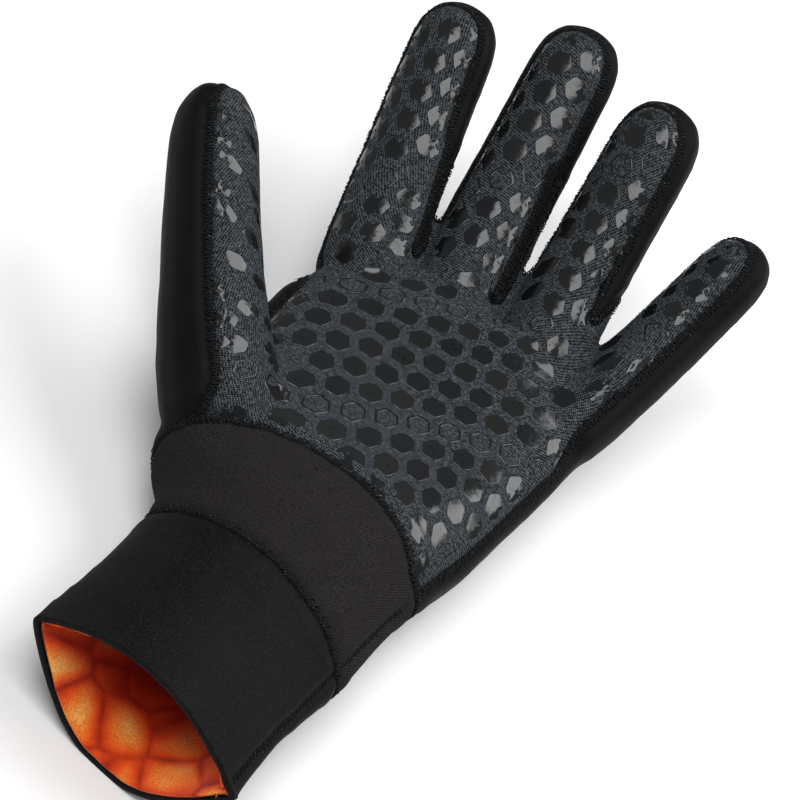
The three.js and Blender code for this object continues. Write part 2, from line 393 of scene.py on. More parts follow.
# %% Follow the borders between the panels
def border(first_names, second_names):
    """The edges between faces of the first panels and faces of the second."""
    sides = [{PANELS.index(n) for n in names} for names in (first_names, second_names)]
    found = []
    for edge in skin.edges:
        if len(edge.link_faces) == 2:
            one, two = (face_panel[f] for f in edge.link_faces)
            if (one in sides[0] and two in sides[1]) or (two in sides[0] and one in sides[1]):
                found.append(edge)
    return found


def routes(edges):
    """The longest ways along connected edges, each a list of vertices."""
    links = {}
    for edge in edges:
        for here, there in (edge.verts, reversed(edge.verts)):
            links.setdefault(here, []).append(there)
    ends = [v for v in links if len(links[v]) != 2]
    left = {frozenset(e.verts) for e in edges}
    found = []
    for start in ends + list(links):
        for step in links[start]:
            if frozenset((start, step)) not in left:
                continue
            route = [start, step]
            left.discard(frozenset(route))
            while len(links[route[-1]]) == 2:
                onward = [v for v in links[route[-1]] if frozenset((route[-1], v)) in left]
                if not onward:
                    break
                left.discard(frozenset((route[-1], onward[0])))
                route.append(onward[0])
            found.append(route)
    return found


SHORTEST_ROUTE = 20 * MM


def seam_routes(first_names, second_names):
    """The points along each long border between two lots of panels."""
    found = [[v.co.copy() for v in r] for r in routes(border(first_names, second_names))]
    return [points for points in found if length_of(points) > SHORTEST_ROUTE]


grip_seams = seam_routes(["palm_panel"], ["back_panel"])
wrist_seams = seam_routes(["palm_panel", "back_panel"], ["wrist_panel"])
cuff_seams = seam_routes(["wrist_panel"], ["cuff"])
for title, found in (("grip", grip_seams), ("wrist", wrist_seams), ("cuff", cuff_seams)):
    print(title, "seams:", [round(length_of(points) / MM) for points in found], "mm")

# %% Find the side seam through the photograph's pixels
SIDE_SEAM_PIXELS = ((236, 780), (262, 750), (298, 714), (328, 684), (340, 671), (372, 640), (404, 610))

side_seam = [seen_at(pixel) for pixel in SIDE_SEAM_PIXELS]
print("side seam:", [[round(c / MM) for c in p] for p in side_seam])

# %% [markdown]
# ## Pull the seams in
#
# Thread pulls foam in, so each panel rises in a soft roll beside its seams. A cloth simulation with
# pressure makes such rolls too, but thick foam rubber holds its form and only bulges by a fraction
# of a millimetre, so the vertices are moved by a formula of their distance to a seam. Noise of two
# sizes adds a little unevenness, and nothing is moved below the floor that the glove lies on.

# %% Move the skin in along the seams
GROOVE_DEPTH = 1.0 * MM
GROOVE_REACH = 1.7 * MM
ROLL_HEIGHT = 0.35 * MM
ROLL_PLACE = 5 * MM
ROLL_REACH = 2.2 * MM
UNEVEN = 0.35 * MM
UNEVEN_SIZE = 24 * MM
RIPPLE = 0.1 * MM
RIPPLE_SIZE = 7 * MM


def is_ring(points):
    """Whether a route ends where it starts."""
    return (points[0] - points[-1]).length < VOXEL * 2


all_seams = grip_seams + wrist_seams + cuff_seams + [side_seam]
seam_tree = search_tree([p for route in all_seams for p in resampled(route, VOXEL / 2)])


def bell(distance, reach):
    """A smooth hump that falls to nothing over its reach."""
    return math.exp(-((distance / reach) ** 2))


skin.normal_update()
moves = []
for vert in skin.verts:
    gap = seam_tree.find(vert.co)[2]
    height = ROLL_HEIGHT * bell(gap - ROLL_PLACE, ROLL_REACH) - GROOVE_DEPTH * bell(gap, GROOVE_REACH)
    height += UNEVEN * noise.noise(vert.co / UNEVEN_SIZE) + RIPPLE * noise.noise(vert.co / RIPPLE_SIZE)
    moves.append(vert.normal * height)
for vert, move in zip(skin.verts, moves):
    vert.co += move
    vert.co.z = max(vert.co.z, 0)
skin.normal_update()
print("moved by up to", round(max(m.length for m in moves) / MM, 2), "mm")

# %% [markdown]
# ## The foam panels
#
# Each panel is its share of the skin, given the foam's thickness inwards. A solidify modifier turns
# the thin sheet into a closed wall and keeps the outer face where it is. The cuff is pared thin
# towards its cut edge, so a vertex group scales its wall there.

# %% Make the four foam panels
FOAM = 3.2 * MM
RIM_FOAM = 1.9 * MM
RIM_LENGTH = 12 * MM


def foam_share(point):
    """The foam's thickness at a point as a share of the full one: it is pared thin towards the mouth."""
    inward = min(max((mouth_middle - point).dot(mouth_facing) / RIM_LENGTH, 0), 1)
    return (RIM_FOAM + (FOAM - RIM_FOAM) * inward * inward * (3 - 2 * inward)) / FOAM


def part_of_skin(keep):
    """A copy of the skin with only the faces that keep is true for."""
    copy = skin.copy()
    copy.faces.ensure_lookup_table()
    skin.faces.index_update()
    wanted = {face.index for face in skin.faces if keep(face)}
    spare = [face for face in copy.faces if face.index not in wanted]
    bmesh.ops.delete(copy, geom=spare, context="FACES")
    return copy


def as_piece(mesh, name, node=None):
    """A bmesh as a smooth piece on the root. It may stand for a CAD node, which it then hides."""
    for face in mesh.faces:
        face.smooth = True
    piece = as_object(mesh, name)
    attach(piece, "root")
    if node:
        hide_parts(node)
    return piece


def walled(piece, thickness):
    """Gives a sheet a wall inwards from its outer face."""
    wall = piece.modifiers.new("wall", "SOLIDIFY")
    wall.thickness = thickness
    wall.offset = -1
    return piece


def foam_panel(node):
    """One of the four panels."""
    own = PANELS.index(node)
    mesh = part_of_skin(lambda face: face_panel[face] == own)
    return walled(as_piece(mesh, "foam_" + node, node), FOAM)


palm = foam_panel("palm_panel")
hand_back = foam_panel("back_panel")
wrist = foam_panel("wrist_panel")
cuff = foam_panel("cuff")
pared = cuff.vertex_groups.new(name="pared")
for vert in cuff.data.vertices:
    pared.add([vert.index], foam_share(vert.co), "REPLACE")
cuff.modifiers["wall"].vertex_group = "pared"
print("panels:", [(p.name, len(p.data.polygons)) for p in (palm, hand_back, wrist, cuff)])

# %% [markdown]
# ## The plush lining
#
# The lining is laminated to the foam all through the glove. It shows only in the mouth, so it is
# made from the mouth into the palm: the skin's copy is cut off there, moved in by the foam's
# thickness, and given its own thin wall. It could be a coloured texture alone, but the real one is
# cushioned, so a layer on the vertices holds the cells: it raises the cushions and places their
# colours.

# %% Line the cuff, the wrist and the palm
LINING_END = 92 * MM
LINING_GAP = 0.1 * MM
LINING_THICKNESS = 1.0 * MM
LINING_BACK = 0.9 * MM
LINING_TILT = 0.05
LINING_SMOOTHING = 12
CELL_SIZE = 16 * MM
CELL_RISE = 0.6 * MM
CELL_CONTRAST = 1.6

sleeve = skin.copy()
lining_facing = (mouth_facing + Vector((0, 0, LINING_TILT))).normalized()
cut_off(sleeve, mouth_middle - mouth_facing * LINING_BACK, lining_facing)
cut_off(sleeve, (0, LINING_END, 0), (0, 1, 0))
largest_island(sleeve)
sleeve.normal_update()
for vert, normal in [(v, v.normal.copy()) for v in sleeve.verts]:
    vert.co -= normal * (LINING_GAP + FOAM * foam_share(vert.co))
for _ in range(LINING_SMOOTHING):
    inner = [v for v in sleeve.verts if not v.is_boundary]
    bmesh.ops.smooth_vert(
        sleeve, verts=inner, factor=HALFWAY, use_axis_x=True, use_axis_y=True, use_axis_z=True
    )
cell_layer = sleeve.verts.layers.float.new("cell")
sleeve.normal_update()
for vert, normal in [(v, v.normal.copy()) for v in sleeve.verts]:
    near, after = noise.voronoi(vert.co / CELL_SIZE)[0][:2]
    vert[cell_layer] = min((after - near) * CELL_CONTRAST, 1)
    vert.co -= normal * CELL_RISE * math.sqrt(vert[cell_layer])
lining = as_piece(sleeve, "plush_lining", "lining")
walled(lining, LINING_THICKNESS)
print("lining:", len(lining.data.polygons), "faces")

# %% [markdown]
# ## Lay the grip panel flat
#
# The print was pressed on the knit while the cloth was flat, before the glove was sewn, so the rows of
# hexagons follow the cloth round the fingers. They could be projected from above, but would smear
# on the fingers' sides. The panel is unwrapped instead, with little stretch, and scaled to metres, so
# a place on the flat cloth has one place on the glove. The knit's stitches use the same flat map.

# %% Unwrap the palm and scale the map to metres
UNWRAP_ROUNDS = 10
PALM_MIDDLE = Vector((10, 75)) * MM
PALM_MIDDLE_REACH = 25 * MM

for other in bpy.context.selected_objects:
    other.select_set(False)
bpy.context.view_layer.objects.active = palm
palm.select_set(True)
palm.data.uv_layers.new(name="flat")
bpy.ops.object.mode_set(mode="EDIT")
bpy.ops.mesh.select_all(action="SELECT")
bpy.ops.uv.unwrap(method="MINIMUM_STRETCH", margin=0, iterations=UNWRAP_ROUNDS)
bpy.ops.object.mode_set(mode="OBJECT")

corner_count = len(palm.data.loops)
corner_vertex = np.empty(corner_count, int)
palm.data.loops.foreach_get("vertex_index", corner_vertex)
on_glove = np.array([v.co[:] for v in palm.data.vertices])[corner_vertex]
on_glove_normal = np.array([v.normal[:] for v in palm.data.vertices])[corner_vertex]
on_cloth = np.empty(corner_count * 2)
palm.data.uv_layers["flat"].uv.foreach_get("vector", on_cloth)
on_cloth = on_cloth.reshape(-1, 2)
triangles = np.arange(corner_count).reshape(-1, 3)


def total_area(places):
    """The area of all the triangles, whose corners are in the plane or in space."""
    first = places[triangles[:, 1]] - places[triangles[:, 0]]
    second = places[triangles[:, 2]] - places[triangles[:, 0]]
    square = (first**2).sum(1) * (second**2).sum(1) - (first * second).sum(1) ** 2
    return np.sqrt(np.maximum(square, 0)).sum() / 2


map_scale = math.sqrt(total_area(on_glove) / total_area(on_cloth))
gap_to_middle = np.linalg.norm(on_glove[:, :2] - np.array(PALM_MIDDLE), axis=1)
middle_corners = gap_to_middle < PALM_MIDDLE_REACH
cloth_middle = on_cloth[middle_corners].mean(0)
plan_middle = on_glove[middle_corners, :2].mean(0)
spun = (on_cloth[middle_corners] - cloth_middle).T @ (on_glove[middle_corners, :2] - plan_middle)
left, _, right = np.linalg.svd(spun)
on_cloth = (on_cloth - cloth_middle) @ (left @ right) * map_scale + plan_middle
palm.data.uv_layers["flat"].uv.foreach_set("vector", on_cloth.ravel())
print("the flat panel spans", (np.ptp(on_cloth, axis=0) / MM).round(), "mm")

# %% Go between the glove and the flat cloth
glove_tree = BVHTree.FromPolygons([tuple(p) for p in on_glove], [tuple(t) for t in triangles])
cloth_tree = BVHTree.FromPolygons([(*p, 0) for p in on_cloth], [tuple(t) for t in triangles])


def carried(point, face, source, target):
    """A point of one face, carried from the source's places of its corners to the target's."""
    corners = triangles[face]
    from_places = [Vector(source[c]).to_3d() for c in corners]
    to_places = [Vector(target[c]).to_3d() for c in corners]
    return barycentric_transform(point, *from_places, *to_places)


def to_cloth(point):
    """The flat place of a point of the glove."""
    near, _, face, _ = glove_tree.find_nearest(point)
    return carried(near, face, on_glove, on_cloth).to_2d()


def to_glove(flat_place):
    """The point and the normal on the glove, and how far the flat place is off the panel."""
    near, _, face, off = cloth_tree.find_nearest(flat_place.to_3d())
    point = carried(near, face, on_cloth, on_glove)
    normal = carried(near, face, on_cloth, on_glove_normal).normalized()
    return point, normal, off


print("the flat panel's middle is on the glove at", [round(c / MM) for c in to_glove(PALM_MIDDLE)[0]])

# %% [markdown]
# ## Print the hexagons
#
# The print is a lattice of equal triangles with a raised rubber hexagon at each corner. Sewing has
# turned it from finger to finger, so one straight lattice doesn't fit. For the palm and each finger a
# few hexagons are looked up by their pixel in the photograph, and a smooth bend fitted to them gives
# all the others there. In every sixth row the hexagons are only outlines. Each top has a narrow
# ring beside its rim: without it, smooth shading would bend over the whole top and make it glare.

# %% Fit the lattice to the hexagons in the photograph
SEEN_HEXAGONS = {
    "palm": {
        (-2, 0): (323, 353), (0, 0): (388, 374), (4, 0): (513, 402), (6, 0): (571, 426),
        (-3, 1): (312, 328), (2, 3): (499, 343), (3, 3): (532, 349), (-2, 5): (403, 290),
        (0, 5): (465, 302), (1, 5): (496, 309), (1, -3): (369, 433), (4, -3): (469, 462),
        (5, -5): (461, 518), (5, -7): (419, 564), (5, 2): (576, 370), (2, 6): (540, 281),
        (6, 2): (610, 376), (-3, -1): (264, 358),
    },
    "thumb": {
        (-4, -1): (230, 351), (-3, -1): (264, 358), (-5, 1): (248, 302), (-6, 1): (222, 287),
        (-7, 3): (250, 261), (-9, 5): (217, 214), (-9, 6): (247, 215), (-11, 8): (220, 160),
        (-11, 9): (248, 169), (-13, 11): (227, 111),
    },
    "index": {
        (-5, 8): (371, 231), (-4, 9): (410, 200), (-5, 12): (408, 119), (-4, 12): (440, 120),
        (-5, 15): (449, 33), (-4, 15): (478, 34),
    },
    "middle": {
        (0, 7): (494, 263), (-1, 8): (474, 235), (0, 11): (548, 147), (-1, 11): (517, 150),
        (0, 14): (590, 61), (-1, 14): (559, 63),
    },
    "ring": {
        (3, 6): (570, 278), (2, 9): (581, 202), (3, 9): (609, 197), (4, 9): (639, 191),
        (2, 11): (611, 143), (3, 12): (651, 112),
    },
    "little": {
        (6, 2): (610, 376), (5, 5): (645, 311), (6, 5): (674, 314), (5, 7): (690, 268),
        (6, 7): (718, 266),
    },
}
ROW_RISE = math.sqrt(3) / 2
BEND_SPAN = 5
BEND_STIFFNESS = 0.4


def lattice_place(column, row):
    """Where a hexagon is in the print before the cloth is bent, in steps."""
    return np.array([column + row / 2, row * ROW_RISE])


def bend_terms(places):
    """A constant, two plain and three bending terms for each place in the lattice."""
    across, up = np.atleast_2d(places).T / BEND_SPAN
    return np.stack([np.ones_like(across), across, up, across**2, across * up, up**2], axis=1)


def fitted_bend(looked_up):
    """The weights of the terms that fit the hexagons looked up, the worst miss, and their points."""
    seen = {key: seen_at(pixel) for key, pixel in looked_up.items()}
    seen = {key: point for key, point in seen.items() if point is not None}
    terms = bend_terms([lattice_place(*key) for key in seen])
    flats = np.array([to_cloth(point) for point in seen.values()])
    stiff = np.hstack([np.zeros((3, 3)), np.eye(3) * BEND_STIFFNESS])
    wanted = np.vstack([flats, np.zeros((3, 2))])
    weights = np.linalg.lstsq(np.vstack([terms, stiff]), wanted, rcond=None)[0]
    return weights, np.linalg.norm(terms @ weights - flats, axis=1).max(), list(seen.values())


bends = {}
homes = []
for part, looked_up in SEEN_HEXAGONS.items():
    bends[part], miss, points = fitted_bend(looked_up)
    homes += [(point, part) for point in points]
    print(part, "is fitted within", round(miss / MM, 1), "mm")

# %% Model one hexagon and one outline
# Widths are in steps of the lattice, heights in metres.
DOT_RADIUS = 0.43
DOT_CORNER = 0.055
DOT_SLOPE = 0.012
DOT_EDGE = 0.018
DOT_CROWN = 0.13
DOT_HEIGHT = 0.065 * MM
CROWN_HEIGHT = 0.01 * MM
SUNK = 0.2 * MM
LINE_WIDTH = 0.06


def hexagon_form(insets):
    """A hexagon with cut corners, inset by steps of width and raised by each step's height."""
    form = bmesh.new()
    bmesh.ops.create_circle(form, cap_ends=True, segments=6, radius=DOT_RADIUS)
    bmesh.ops.bevel(
        form,
        geom=form.verts[:],
        offset=DOT_CORNER,
        segments=1,
        profile=0.5,
        affect="VERTICES",
        material=-1,
    )
    top = form.faces[:]
    if top[0].normal.z < 0:
        bmesh.ops.reverse_faces(form, faces=top)
    for vert in form.verts:
        vert.co.z = -SUNK
    for width, rise in insets:
        bmesh.ops.inset_region(form, faces=top, thickness=width, use_boundary=True, use_even_offset=True)
        for vert in top[0].verts:
            vert.co.z += rise
    bmesh.ops.poke(form, faces=top)
    bmesh.ops.holes_fill(form, edges=[e for e in form.edges if e.is_boundary])
    bmesh.ops.recalc_face_normals(form, faces=form.faces)
    data = bpy.data.meshes.new("hexagon_form")
    form.to_mesh(data)
    form.free()
    return data


raised = SUNK + DOT_HEIGHT
full_form = hexagon_form(((DOT_SLOPE, raised), (DOT_EDGE, 0), (DOT_CROWN, CROWN_HEIGHT), (DOT_CROWN, 0)))
line_form = hexagon_form(((DOT_SLOPE, raised), (LINE_WIDTH, 0), (DOT_SLOPE, -raised)))
print("faces of a hexagon:", len(full_form.polygons), "of an outline:", len(line_form.polygons))

# %% Print them on the cloth
MARGIN = 3
OUTLINE_EVERY = 6
OUTLINE_ROW = 4
CLEAR = 7.6 * MM
WIDEST = 6.5 * MM
OFF_PANEL = 0.5 * MM
OFF_EDGE = 0.2 * MM
MOST_SPILLED = 0.4
LEAST_LEVEL = 0.55
TINT_SEED = 5
SHARP_EDGE = math.radians(25)

random.seed(TINT_SEED)
print_mesh = bmesh.new()
tint_layer = print_mesh.verts.layers.float.new("tint")
printed = []


def print_hexagon(column, row, part):
    """Lays one hexagon on the cloth, unless it is off its part of the panel, on another or creased."""
    weights = bends[part]
    centre = lattice_place(column, row)
    flat_centre = Vector((bend_terms(centre) @ weights)[0])
    middle, upward, off = to_glove(flat_centre)
    home = min(homes, key=lambda known: (known[0] - middle).length)[1]
    if off > OFF_PANEL or home != part or any((middle - other).length < CLEAR for other in printed):
        return
    form = line_form if row % OUTLINE_EVERY == OUTLINE_ROW else full_form
    shape = np.array([v.co[:] for v in form.vertices])
    laid = [to_glove(Vector(p)) for p in bend_terms(centre + shape[:, :2]) @ weights]
    spilled = sum(off > OFF_EDGE for _, _, off in laid) / len(laid)
    reach = max((point - middle).length for point, _, _ in laid)
    level = min(normal.dot(upward) for _, normal, _ in laid)
    if spilled > MOST_SPILLED or reach > WIDEST or level < LEAST_LEVEL:
        return
    printed.append(middle)
    tint = random.random()
    before = len(print_mesh.verts)
    print_mesh.from_mesh(form)
    print_mesh.verts.ensure_lookup_table()
    for vert, (point, normal, _) in zip(print_mesh.verts[before:], laid):
        vert.co = point + normal * vert.co.z
        vert[tint_layer] = tint


for part in bends:
    columns, rows = zip(*SEEN_HEXAGONS[part])
    for row in range(min(rows) - MARGIN, max(rows) + MARGIN):
        for column in range(min(columns) - MARGIN, max(columns) + MARGIN):
            print_hexagon(column, row, part)
    print(part, "done,", len(printed), "hexagons so far")
for edge in print_mesh.edges:
    edge.smooth = edge.calc_face_angle() < SHARP_EDGE
grip_print = as_piece(print_mesh, "grip_hexagons")
print(len(printed), "hexagons,", len(grip_print.data.polygons), "faces")

# %% [markdown]
# ## Sew the seams
#
# An overlocking machine binds an edge with loops of thread that lie side by side across it, so the
# seams look like thick rough cord. A texture on a plain tube would look smooth from the side. Here the
# thread itself is wound round the seam: its line runs round a flat oval while it goes along, a little
# unevenly, and a curve's bevel gives it its thickness. A dark cord inside closes the gaps. The side
# seam of the cuff and the wrist is a flat zigzag stitch with no cord. Loose fibres lean out of the
# other seams, because worn thread is hairy and its outline is rough.

# %% Follow each seam on the finished skin
SEAM_STEP = 1.2 * MM
SEAM_SOFTENING = 4

finished_tree = BVHTree.FromBMesh(skin)


def softened(points, closed):
    """Points along a seam, each drawn towards its neighbours a few times."""
    places = np.array([p[:] for p in points])
    for _ in range(SEAM_SOFTENING):
        around = (np.roll(places, 1, axis=0) + np.roll(places, -1, axis=0)) / 2
        if not closed:
            around[[0, -1]] = places[[0, -1]]
        places = (places + around) / 2
    return [Vector(p) for p in places]


def followed(route):
    """Points, normals and directions along a seam, and whether it is a ring."""
    closed = is_ring(route)
    points = softened(resampled(route[:-1] if closed else route, SEAM_STEP, closed), closed)
    near = [finished_tree.find_nearest(p) for p in points]
    points = [hit[0] for hit in near]
    normals = softened([hit[1] for hit in near], closed)
    ahead = points[1:] + (points[:1] if closed else [points[-1] * 2 - points[-2]])
    along = [(b - a).normalized() for a, b in zip(points, ahead)]
    return points, [n.normalized() for n in normals], along, closed


tracks = {
    "grip": [followed(route) for route in grip_seams],
    "wrist": [followed(route) for route in wrist_seams],
    "cuff": [followed(route) for route in cuff_seams],
    "side": [followed(side_seam)],
}
print("steps of each seam:", {name: [len(t[0]) for t in found] for name, found in tracks.items()})

# %% Wind the thread round the seams
THREAD = 0.24 * MM
PITCH = 0.85 * MM
POINTS_A_TURN = 8
UNEVEN_THREAD = 0.26
THREAD_LIFT = 0.3 * MM
CORE = 0.7 * MM
ZIGZAG = 0.9 * MM
ZIGZAG_REACH = (0.85, 1.1)
JUST_BEFORE = 1e-6
SEAM_SIZES = {"grip": (1.45, 0.75), "wrist": (1.5, 0.8), "cuff": (1.3, 0.65), "side": (1.1, 0.3)}
SEAM_SEED = 11

random.seed(SEAM_SEED)


def above_floor(point):
    """The point, or the one above it where a thread there would lie on the floor."""
    return Vector((point.x, point.y, max(point.z, THREAD)))


def wound(track, half_width, height):
    """The line of a thread that is wound round one seam."""
    points, normals, along, closed = track
    turns = max(round(length_of(points) / PITCH), 3)
    steps = turns * POINTS_A_TURN
    last = len(points) if closed else len(points) - 1
    line = []
    for step in range(steps + (0 if closed else 1)):
        place_along = min(step / steps * last, last - JUST_BEFORE)
        first = int(place_along)
        second = (first + 1) % len(points)
        share = place_along - first
        point = points[first].lerp(points[second], share)
        normal = normals[first].lerp(normals[second], share).normalized()
        side = along[first].cross(normal).normalized()
        turn = math.tau * step / POINTS_A_TURN
        size = 1 + random.uniform(-UNEVEN_THREAD, UNEVEN_THREAD)
        sideways = side * (half_width * size * math.cos(turn))
        up = normal * (THREAD_LIFT + height * size * math.sin(turn))
        slip = along[first] * (random.uniform(-UNEVEN_THREAD, UNEVEN_THREAD) * PITCH)
        line.append(above_floor(point + sideways + up + slip))
    return line


def zigzag(track, half_width, height):
    """The line of a flat zigzag stitch along one seam."""
    points, normals, along, _ = track
    line = []
    for position, point in enumerate(resampled(points, ZIGZAG)):
        nearest = min(range(len(points)), key=lambda k: (points[k] - point).length)
        side = along[nearest].cross(normals[nearest]).normalized() * (-1) ** position
        reach = half_width * random.uniform(*ZIGZAG_REACH)
        line.append(point + side * reach + normals[nearest] * height)
    return line


def curve_through(lines, radius, rings, name):
    """Round strands through lists of points, as one mesh."""
    data = bpy.data.curves.new(name, "CURVE")
    data.dimensions = "3D"
    data.bevel_depth = radius
    data.bevel_resolution = 0
    data.use_fill_caps = True
    for line, ring in zip(lines, rings):
        strand = data.splines.new("POLY")
        strand.points.add(len(line) - 1)
        strand.points.foreach_set("co", [c for p in line for c in (*p, 1)])
        strand.use_cyclic_u = ring
    drawn = bpy.data.objects.new(name, data)
    bpy.context.scene.collection.objects.link(drawn)
    mesh = evaluated(drawn)
    bpy.data.curves.remove(data)
    return mesh


def seam_mesh(names, name):
    """The thread and the cord of the named seams, as one mesh."""
    threads, rings, cords, core_rings = [], [], [], []
    for seam in names:
        half_width, height = (size * MM for size in SEAM_SIZES[seam])
        for track in tracks[seam]:
            stitch = zigzag if seam == "side" else wound
            threads.append(stitch(track, half_width, height))
            rings.append(track[3])
            if seam != "side":
                cords.append(track[0])
                core_rings.append(track[3])
    mesh = curve_through(threads, THREAD, rings, name)
    core = curve_through(cords, CORE, core_rings, name + "_core")
    data = bpy.data.meshes.new(name)
    core.to_mesh(data)
    core.free()
    mesh.from_mesh(data)
    bpy.data.meshes.remove(data)
    return mesh


grip_thread = as_piece(seam_mesh(["grip"], "grip_seam"), "grip_seam_thread")
cuff_mesh = seam_mesh(["wrist", "cuff", "side"], "cuff_seam")
cuff_thread = as_piece(cuff_mesh, "cuff_seam_thread")
print("faces of the thread:", len(grip_thread.data.polygons), len(cuff_thread.data.polygons))

# %% Let loose fibres stand out of the seams
FIBRES_A_STEP = {"grip": 6, "wrist": 3, "cuff": 3, "side": 0}
FIBRE_RADIUS = 0.05 * MM
FIBRE_LENGTHS = (0.5, 1.3)
FIBRE_LEAN = (0.3, 1)
FIBRE_RISE = (0.2, 1)
ROOT_OUT = 0.8
ROOT_UP = 0.7
FIBRE_BEND = 0.3
FIBRE_DROOP = 0.6


def fibres(names):
    """Short fibres that lean out of the named seams to both sides."""
    lines = []
    for seam in names:
        half_width, height = (size * MM for size in SEAM_SIZES[seam])
        for points, normals, along, _ in tracks[seam]:
            for point, normal, way in zip(points, normals, along):
                side = way.cross(normal).normalized()
                for _ in range(FIBRES_A_STEP[seam]):
                    lean = random.choice((-1, 1)) * random.uniform(*FIBRE_LEAN)
                    root = point + side * (half_width * lean * ROOT_OUT) + normal * (height * ROOT_UP)
                    root += way * (random.uniform(-0.5, 0.5) * SEAM_STEP)
                    rise = random.uniform(*FIBRE_RISE)
                    aim = (side * lean + normal * rise + way * random.uniform(-1, 1)).normalized()
                    reach = random.uniform(*FIBRE_LENGTHS) * MM
                    bend = (side * lean - normal * FIBRE_DROOP) * (reach * FIBRE_BEND)
                    tip = root + aim * reach + bend
                    lines.append([above_floor(p) for p in (root, root + aim * (reach / 2), tip)])
    return lines


fibre_lines = fibres(tracks)
fibre_mesh = curve_through(fibre_lines, FIBRE_RADIUS, [False] * len(fibre_lines), "fibres")
seam_fibres = as_piece(fibre_mesh, "seam_fibres")
print(len(fibre_lines), "fibres,", len(seam_fibres.data.polygons), "faces")

# %% [markdown]
# ## Helpers for the finishes
#
# Every cloth here has fine noise in its colour and a small relief, and two have a woven or knitted
# pattern. Each pattern is a node group with its own inputs, so it can be used again on another
# cloth with other sizes. The small functions add one node each, so a material reads like a recipe.

# %% Shader helpers
def connect(tree, socket, value):
    """Links another socket to a socket, or sets its own value."""
    if isinstance(value, bpy.types.NodeSocket):
        tree.links.new(value, socket)
    else:
        socket.default_value = value


def add_node(tree, kind, values):
    """A new node whose inputs, by name, are linked or set."""
    made = tree.nodes.new(kind)
    for name, value in values.items():
        connect(tree, made.inputs[name], value)
    return made


def math_node(tree, operation, *values):
    """One Math node over sockets or numbers. Gives back its output."""
    made = tree.nodes.new("ShaderNodeMath")
    made.operation = operation
    for socket, value in zip(made.inputs, values):
        connect(tree, socket, value)
    return made.outputs[0]


def blend_colours(tree, share, first, second):
    """A Mix node between two colours. Each is a socket or a colour. Gives back its output."""
    made = tree.nodes.new("ShaderNodeMix")
    made.data_type = "RGBA"
    for socket, value in ((made.inputs[0], share), (made.inputs[6], first), (made.inputs[7], second)):
        connect(tree, socket, value)
    return made.outputs[2]


def spread(tree, value, low, high):
    """A value brought from the range low to high into the range 0 to 1."""
    values = {"Value": value, "From Min": low, "From Max": high}
    return add_node(tree, "ShaderNodeMapRange", values).outputs[0]


def noise_value(tree, vector, size, detail=2.0, roughness=0.5):
    """Noise whose features are about the given size."""
    values = {"Vector": vector, "Scale": 1 / size, "Detail": detail, "Roughness": roughness}
    return add_node(tree, "ShaderNodeTexNoise", values).outputs["Fac"]


def bump(tree, height, distance, strength):
    """A Bump node over a height. Gives back its normal."""
    values = {"Height": height, "Distance": distance, "Strength": strength}
    return add_node(tree, "ShaderNodeBump", values).outputs[0]


def ramp_of(tree, value, steps):
    """A colour ramp over a value, from (position, colour) steps."""
    ramp = add_node(tree, "ShaderNodeValToRGB", {"Fac": value})
    while len(ramp.color_ramp.elements) < len(steps):
        ramp.color_ramp.elements.new(HALFWAY)
    for element, (position, colour) in zip(ramp.color_ramp.elements, steps):
        element.position = position
        element.color = (*colour, 1)
    return ramp.outputs["Color"]


def layer_value(tree, name):
    """The value of a layer on the vertices."""
    made = tree.nodes.new("ShaderNodeAttribute")
    made.attribute_name = name
    return made.outputs["Fac"]


def plain_material(name, roughness, sheen=0.0, specular=0.5):
    """A new material with its tree and its Principled shader."""
    made = bpy.data.materials.new(name)
    made.use_nodes = True
    shader = made.node_tree.nodes["Principled BSDF"]
    shader.inputs["Roughness"].default_value = roughness
    shader.inputs["Sheen Weight"].default_value = sheen
    shader.inputs["Specular IOR Level"].default_value = specular
    return made, made.node_tree, shader


def place(tree):
    """The object coordinates, in metres."""
    return tree.nodes.new("ShaderNodeTexCoord").outputs["Object"]


def dress(tree, shader, colour, normal):
    """Links a colour and a normal to the shader."""
    tree.links.new(colour, shader.inputs["Base Color"])
    tree.links.new(normal, shader.inputs["Normal"])


def finish(piece, material):
    """Gives a piece its only material."""
    piece.data.materials.clear()
    piece.data.materials.append(material)
    print(piece.name, "is finished with", material.name)


# %% Knit loops and twill as node groups
def height_group(name, **numbers):
    """A node group from a Place and some numbers to a Height: the group, its inputs, axes and end."""
    group = bpy.data.node_groups.new(name, "ShaderNodeTree")
    group.interface.new_socket("Place", in_out="INPUT", socket_type="NodeSocketVector")
    for label, value in numbers.items():
        label = label.replace("_", " ")
        socket = group.interface.new_socket(label, in_out="INPUT", socket_type="NodeSocketFloat")
        socket.default_value = value
    group.interface.new_socket("Height", in_out="OUTPUT", socket_type="NodeSocketFloat")
    inputs = group.nodes.new("NodeGroupInput").outputs
    axes = group.nodes.new("ShaderNodeSeparateXYZ")
    group.links.new(inputs["Place"], axes.inputs[0])
    return group, inputs, axes.outputs, group.nodes.new("NodeGroupOutput")


def wave(tree, angle):
    """A sine wave from 0 to 1."""
    return math_node(tree, "MULTIPLY_ADD", math_node(tree, "SINE", angle), 0.5, 0.5)


